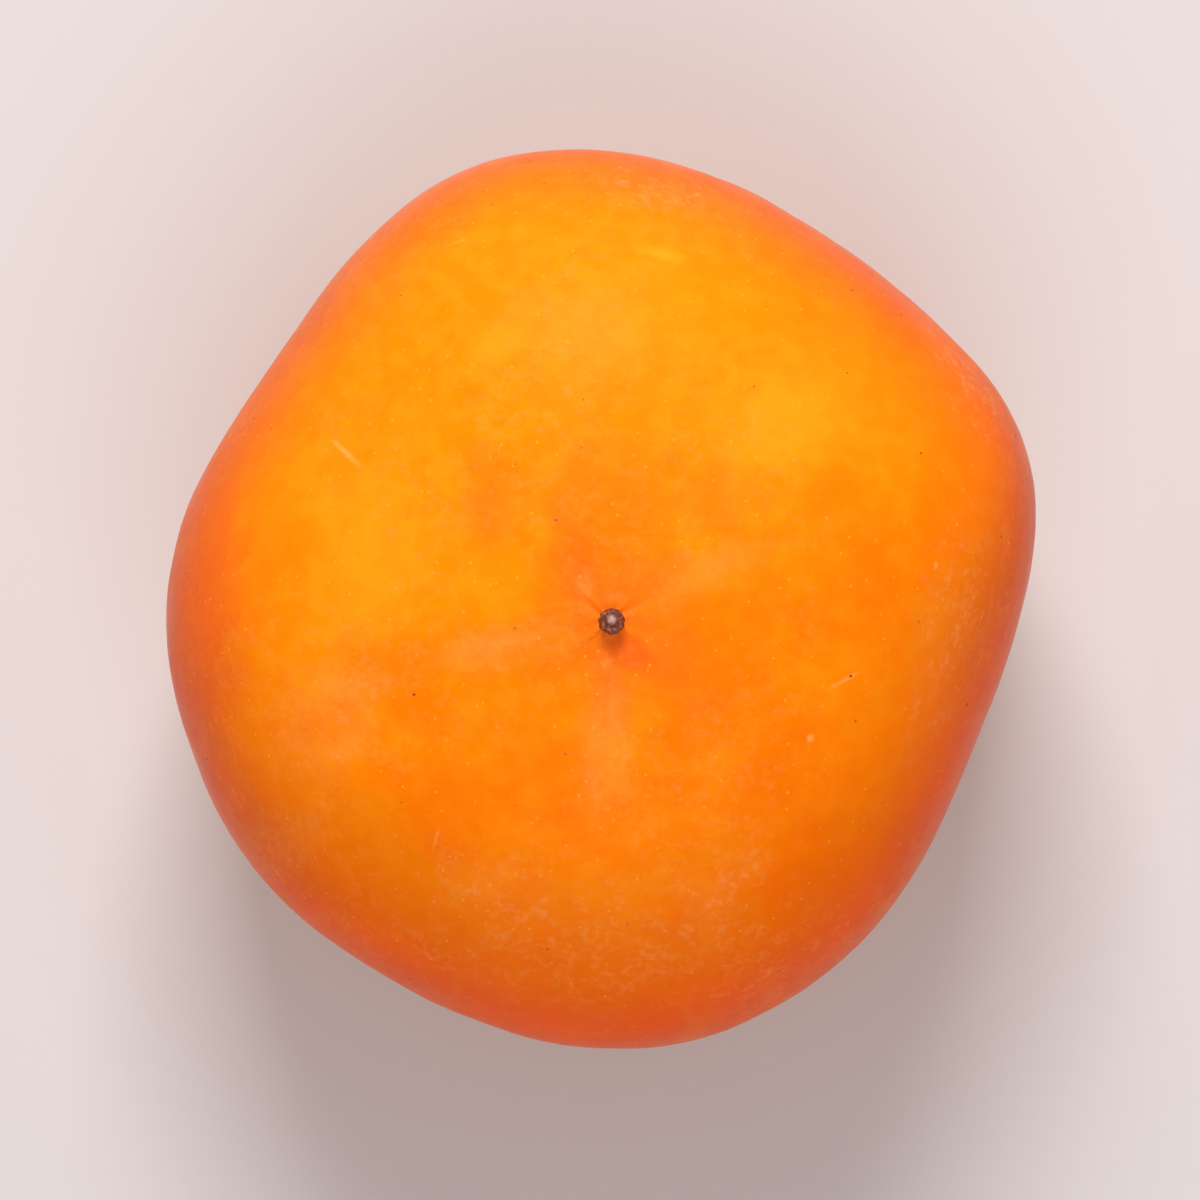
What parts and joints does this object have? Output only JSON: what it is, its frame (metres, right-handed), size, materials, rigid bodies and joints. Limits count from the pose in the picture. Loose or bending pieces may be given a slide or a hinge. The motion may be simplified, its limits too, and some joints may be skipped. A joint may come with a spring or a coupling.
{
  "type": "persimmon",
  "caption": "Whole ripe persimmon of the flat, squarish kind, with a leathery lobed calyx and a cut stalk under it and a dried style tip on the apex.",
  "frame": {"origin": "on the resting plane, below the middle of the fruit seen from above", "axes": "+Z up from the calyx to the apex; +X to the right and +Y up as the picture shows the fruit from above"},
  "size_m": [0.0753, 0.0779, 0.0533],
  "materials": {
    "persimmon_skin": "satin",
    "dried_calyx": "matte",
    "stalk_wood": "matte",
    "dried_style": "matte"
  },
  "bodies": {
    "root": {"fruit": "persimmon_skin", "calyx": "dried_calyx", "stalk": "stalk_wood", "style_tip": "dried_style"}
  },
  "joints": []
}
